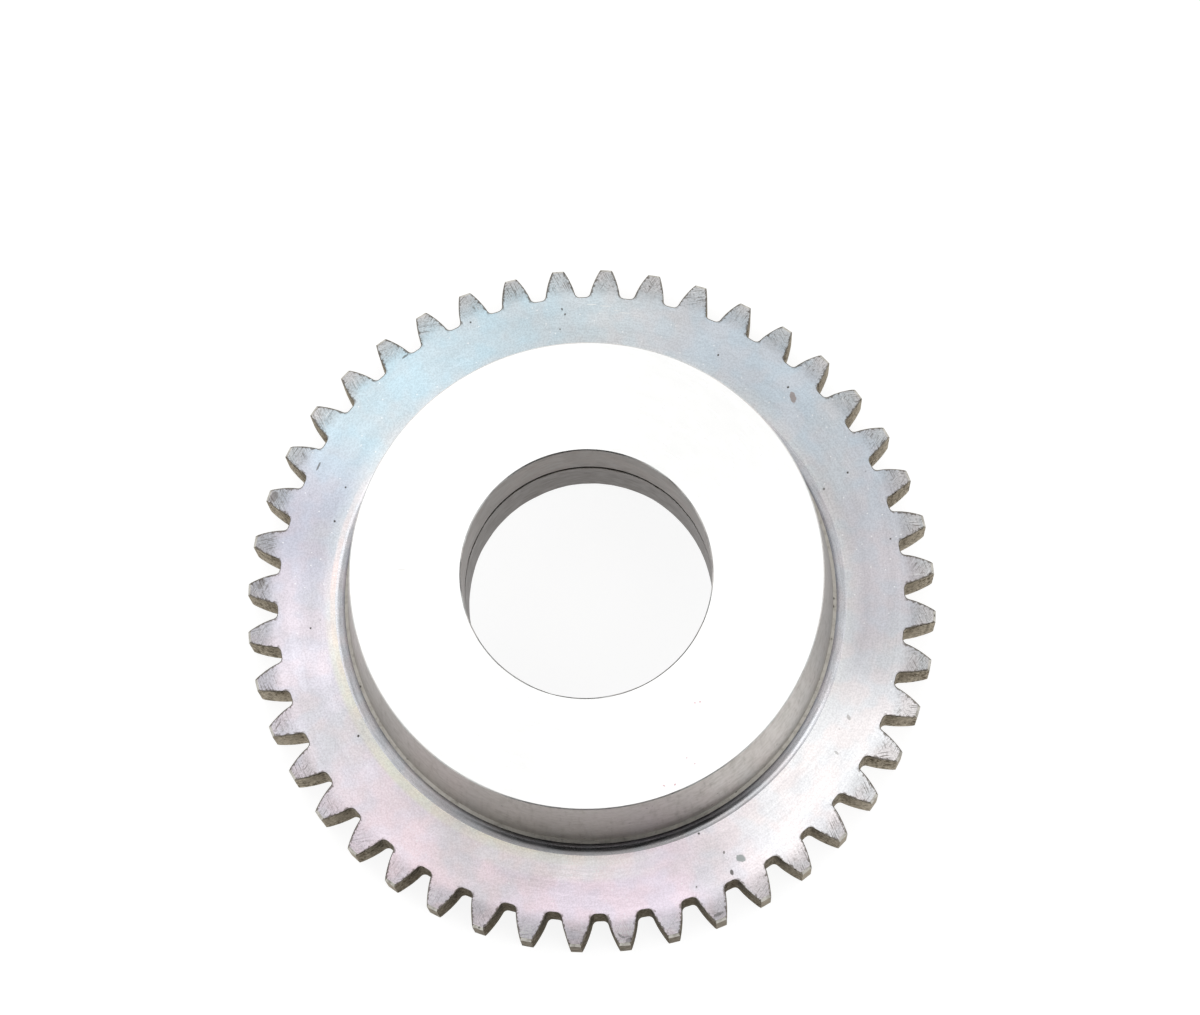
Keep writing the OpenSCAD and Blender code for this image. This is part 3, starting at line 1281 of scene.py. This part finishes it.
@dataclass
class WheelTree:
    """The Geometry Nodes tree that repeats the tooth's sector and dresses the wheel. Lengths are in mm."""

    teeth: ToothForm
    materials: dict[Zone, bpy.types.Material]
    wall_unevenness: float = 0.22
    bumps_per_metre: float = 110.0
    bevel_variation: float = 0.5
    seed: int = 7
    weld: float = 0.01

    @property
    def inputs(self) -> list[tuple[str, str, Any]]:
        """Name, kind and value of each of the tree's inputs."""
        return [
            ("Teeth", "NodeSocketInt", self.teeth.count),
            ("Tooth Pitch", "NodeSocketFloat", self.teeth.pitch_angle),
            ("Wall Unevenness", "NodeSocketFloat", self.wall_unevenness * MM),
            ("Bevel Variation", "NodeSocketFloat", self.bevel_variation * MM),
            ("Seed", "NodeSocketInt", self.seed),
        ]

    def build(self) -> Tree:
        """Builds the tree with its named inputs.

        Returns:
            The tree.
        """
        tree = bpy.data.node_groups.new("wheel_from_tooth_sector", "GeometryNodeTree")
        face = tree.interface
        face.new_socket("Geometry", in_out="INPUT", socket_type="NodeSocketGeometry")
        for name, kind, _ in self.inputs:
            face.new_socket(name, in_out="INPUT", socket_type=kind)
        face.new_socket("Geometry", in_out="OUTPUT", socket_type="NodeSocketGeometry")
        given = add(tree, "NodeGroupInput")
        shaped = self.shape(tree, given, self.repeat(tree, given))
        for zone, material in self.materials.items():
            shaped = add(tree, "GeometryNodeSetMaterial", None,
                         {"Geometry": shaped, "Selection": self.in_zone(tree, zone), "Material": material})
        add(tree, "NodeGroupOutput", None, {0: shaped})
        return tree

    def repeat(self, tree: Tree, given: Value) -> Value:
        """Places a sector for each tooth, gives each a random share of wear, and realizes them.

        Args:
            tree: The tree.
            given: Its inputs.

        Returns:
            The closed wheel.
        """
        points = add(tree, "GeometryNodePoints", None, {"Count": given.at("Teeth")})
        index = add(tree, "GeometryNodeInputIndex")
        rotation = add(tree, "ShaderNodeCombineXYZ", None, {2: index * given.at("Tooth Pitch")})
        placed = add(tree, "GeometryNodeInstanceOnPoints", None,
                     {"Points": points, "Instance": given.at("Geometry"), "Rotation": rotation})
        for i, name in enumerate(("tooth_wear", "tooth_tilt")):
            seed = given.at("Seed") + float(i)
            chance = add(tree, "FunctionNodeRandomValue", {"data_type": "FLOAT"},
                         {2: -1.0, 3: 1.0, "ID": index, "Seed": seed}, 1)
            kept = {"Geometry": placed, "Name": name, "Value": chance}
            placed = add(tree, "GeometryNodeStoreNamedAttribute",
                         {"data_type": "FLOAT", "domain": "INSTANCE"}, kept)
        real = add(tree, "GeometryNodeRealizeInstances", None, {"Geometry": placed})
        return add(tree, "GeometryNodeMergeByDistance", None, {"Geometry": real, "Distance": self.weld * MM})

    def shape(self, tree: Tree, given: Value, mesh: Value) -> Value:
        """Makes the forged wall uneven and gives every tooth its own bevel.

        Args:
            tree: The tree.
            given: Its inputs.
            mesh: The plain wheel.

        Returns:
            The shaped wheel.
        """
        bevel, wear, lean, tilt = (
            add(tree, "GeometryNodeInputNamedAttribute", {"data_type": "FLOAT"}, {"Name": name})
            for name in ("bevel", "tooth_wear", "lean", "tooth_tilt"))
        drop = (bevel * wear + lean * tilt) * given.at("Bevel Variation")
        offset = add(tree, "ShaderNodeCombineXYZ", None, {2: drop})
        mesh = add(tree, "GeometryNodeSetPosition", None, {"Geometry": mesh, "Offset": offset})
        place = add(tree, "GeometryNodeInputPosition")
        flat = add(tree, "ShaderNodeVectorMath", {"operation": "MULTIPLY"}, {0: place, 1: LEVEL})
        outwards = add(tree, "ShaderNodeVectorMath", {"operation": "NORMALIZE"}, {0: flat})
        noise = add(tree, "ShaderNodeTexNoise", {"noise_dimensions": "3D"},
                    {"Vector": place, "Scale": self.bumps_per_metre, "Detail": 2.0, "Roughness": 0.55}, "Fac")
        height = (noise - 0.5) * 2.0 * given.at("Wall Unevenness")
        push = add(tree, "ShaderNodeVectorMath", {"operation": "SCALE"}, {0: outwards, "Scale": height})
        return add(tree, "GeometryNodeSetPosition", None,
                   {"Geometry": mesh, "Selection": self.in_zone(tree, Zone.HUB_WALL), "Offset": push})

    def in_zone(self, tree: Tree, zone: Zone) -> Value:
        """Picks the faces of a zone.

        Args:
            tree: The tree.
            zone: The zone.

        Returns:
            Whether a face belongs to it.
        """
        held = add(tree, "GeometryNodeInputNamedAttribute", {"data_type": "INT"}, {"Name": "zone"})
        return add(tree, "FunctionNodeCompare", {"data_type": "INT", "operation": "EQUAL"},
                   {2: held, 3: int(zone)})

    def attach(self, piece: bpy.types.Object) -> None:
        """Puts the tree on a piece and sets its inputs.

        Args:
            piece: The object that holds one sector.
        """
        tree = self.build()
        modifier = piece.modifiers.new("wheel", "NODES")
        modifier.node_group = tree
        values = {name: value for name, _, value in self.inputs}
        for item in tree.interface.items_tree:
            if item.item_type == "SOCKET" and item.in_out == "INPUT" and item.name in values:
                modifier[item.identifier] = values[item.name]


@dataclass
class GearWheel:
    """The gear wheel, forged in one piece with its hub, turned, bored, hobbed and zinc plated.

    Attributes:
        teeth: The teeth.
        blank: The blank that they are cut into.
        sharp_angle: Angle between two faces, in degrees, from which their edge stays sharp.
        merge_distance: Distance in metres below which two vertices are one.
    """

    teeth: ToothForm = field(default_factory=ToothForm)
    blank: Blank = field(default_factory=Blank)
    sharp_angle: float = 24.0
    merge_distance: float = 0.000002

    def build(self) -> bpy.types.Object:
        """Builds the whole wheel as one plain mesh at the origin.

        Returns:
            The finished piece.
        """
        sector = put("tooth_sector", SectorMesh(self.teeth, self.blank).build())
        materials = {zone: finish.material() for zone, finish in wheel_finishes().items()}
        WheelTree(self.teeth, materials).attach(sector)
        bpy.context.view_layer.update()
        graph = bpy.context.evaluated_depsgraph_get()
        mesh = bpy.data.meshes.new_from_object(sector.evaluated_get(graph), depsgraph=graph)
        bpy.data.objects.remove(sector)
        piece = put("dressed_gear_wheel", mesh)
        self.clean(mesh)
        return piece

    def clean(self, mesh: bpy.types.Mesh) -> None:
        """Turns all faces outwards, shades them smooth and keeps the machined edges sharp.

        Args:
            mesh: The wheel's mesh.
        """
        work = bmesh.new()
        work.from_mesh(mesh)
        bmesh.ops.remove_doubles(work, verts=work.verts, dist=self.merge_distance)
        bmesh.ops.recalc_face_normals(work, faces=work.faces)
        open_edges = sum(1 for edge in work.edges if not edge.is_manifold)
        log.info("gear wheel: %d faces, %d open edges, volume %.1f ml", len(work.faces), open_edges,
                 work.calc_volume(signed=True) * 1e6)
        work.to_mesh(mesh)
        work.free()
        for face in mesh.polygons:
            face.use_smooth = True
        mesh.set_sharp_from_angle(angle=math.radians(self.sharp_angle))


@dataclass
class Studio:
    """Camera, floor and soft light of the studio. Lengths are in metres.

    Attributes:
        lens: The camera's focal length, in mm.
        sensor: Width of the camera's sensor, in mm.
        place: The camera's place.
        right: Direction to the right of the picture.
        up: Direction to the top of the picture.
        back: Direction from the picture to the camera.
        sight: Distance that the camera sees.
        world_light: Strength of the even light from all sides.
        dark_light: Its strength on the dark side.
        dark_side: Direction of the dark side, which the near wall and teeth mirror.
        dark_limits: How nearly a direction has to face the dark side for the light to fall, and to end.
        floor_half: Half the length of the floor's sides.
        floor_bounce: The floor's colour for the light that it sends on.
        floor_seen: The floor's colour for the camera, where the shadow shows in it.
        floor_glow: White that is added to it for the camera.
        soft_boxes: Name, place, length of the sides and power in watts of each lamp.
    """

    lens: float = 129.68
    sensor: float = 36.0
    place: Point = (0.04181, -0.20986, 1.14958)
    right: Point = (0.99865, 0.04486, -0.02636)
    up: Point = (-0.03854, 0.97807, 0.20468)
    back: Point = (0.03496, -0.20339, 0.97847)
    sight: float = 100.0
    world_light: float = 0.78
    dark_light: float = 0.03
    dark_side: Point = (0.145, -0.916, 0.375)
    dark_limits: tuple[float, float] = (0.70, 0.89)
    floor_half: float = 4.0
    floor_bounce: float = 0.92
    floor_seen: float = 0.26
    floor_glow: float = 0.87
    soft_boxes: tuple[tuple[str, Point, float, float], ...] = (
        ("right_soft_box", (1.05, -0.64, 2.0), 1.1, 6.5),
        ("left_soft_box", (-0.85, 0.75, 2.1), 1.1, 4.0),
        ("top_soft_box", (0.1, 0.2, 2.3), 1.0, 1.3),
    )

    def camera(self) -> None:
        """Places the camera at the photograph's viewing angle."""
        data = bpy.data.cameras.new("camera")
        data.sensor_fit = "HORIZONTAL"
        data.sensor_width = self.sensor
        data.lens = self.lens
        data.clip_end = self.sight
        camera = put("camera", data)
        axes = Matrix((self.right, self.up, self.back)).transposed().to_4x4()
        camera.matrix_world = Matrix.Translation(self.place) @ axes
        bpy.context.scene.camera = camera

    def floor(self) -> None:
        """Lays a white floor that keeps the wheel's shadow and looks white to the camera."""
        mesh = bpy.data.meshes.new("floor")
        h = self.floor_half
        mesh.from_pydata([(-h, -h, 0), (h, -h, 0), (h, h, 0), (-h, h, 0)], [], [(0, 1, 2, 3)])
        floor = put("floor", mesh)
        made = bpy.data.materials.new("white_paper_floor")
        tree = emptied(made)
        seen = self.seen(tree)
        pale = add(tree, "ShaderNodeMapRange", None,
                   {"Value": seen, "To Min": self.floor_bounce, "To Max": self.floor_seen})
        matt = add(tree, "ShaderNodeBsdfDiffuse", None, {"Color": pale})
        lit = add(tree, "ShaderNodeEmission", None, {"Strength": seen * self.floor_glow})
        mixed = add(tree, "ShaderNodeAddShader", None, {0: matt, 1: lit})
        add(tree, "ShaderNodeOutputMaterial", None, {"Surface": mixed})
        mesh.materials.append(made)

    def seen(self, tree: Tree) -> Value:
        """Tells which rays show the white background.

        Args:
            tree: The tree of the floor's material.

        Returns:
            1 for rays from the camera and for those that metal and glass send on.
        """
        path = add(tree, "ShaderNodeLightPath")
        share = path.at("Is Camera Ray")
        for other in ("Is Glossy Ray", "Is Transmission Ray"):
            share = share.to(Step.LARGER, path.at(other))
        return share

    def world(self) -> None:
        """Lights everything evenly and looks white behind the floor."""
        world = bpy.data.worlds.new("studio")
        bpy.context.scene.world = world
        tree = emptied(world)
        towards = add(tree, "ShaderNodeTexCoord", output="Generated")
        facing = add(tree, "ShaderNodeVectorMath", {"operation": "DOT_PRODUCT"},
                     {0: towards, 1: self.dark_side}, "Value")
        light = facing.to(Step.RAMP, *self.dark_limits, self.world_light, self.dark_light)
        white = linear("ffffff")
        soft = add(tree, "ShaderNodeBackground", None, {"Color": white, "Strength": light})
        plain = add(tree, "ShaderNodeBackground", None, {"Color": white, "Strength": 1.0})
        camera_ray = add(tree, "ShaderNodeLightPath", output="Is Camera Ray")
        mixed = add(tree, "ShaderNodeMixShader", None, {0: camera_ray, 1: soft, 2: plain})
        add(tree, "ShaderNodeOutputWorld", None, {"Surface": mixed})

    def lamp(self, name: str, place: Point, size: float, power: float) -> None:
        """Hangs one soft box, turned to the wheel.

        Args:
            name: The lamp's name.
            place: Its place.
            size: Length of its sides.
            power: Its power, in watts.
        """
        data = bpy.data.lights.new(name, "AREA")
        data.size = size
        data.energy = power
        lamp = put(name, data)
        away = Vector(place)
        lamp.location = away
        lamp.rotation_euler = (-away).to_track_quat("-Z", "Y").to_euler()

    def build(self) -> None:
        """Sets up the whole studio."""
        bpy.context.scene.view_settings.view_transform = "Standard"
        self.camera()
        self.floor()
        self.world()
        for soft_box in self.soft_boxes:
            self.lamp(*soft_box)


def main() -> None:
    """Builds the studio and the wheel, and ties the wheel to its CAD body."""
    logging.basicConfig(level=logging.INFO, format="%(name)s: %(message)s")
    Studio().build()
    wheel = GearWheel().build()
    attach(wheel, "root")
    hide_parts("gear_wheel")
    log.info("%s is in place", wheel.name)


if __name__ == "__main__":
    main()
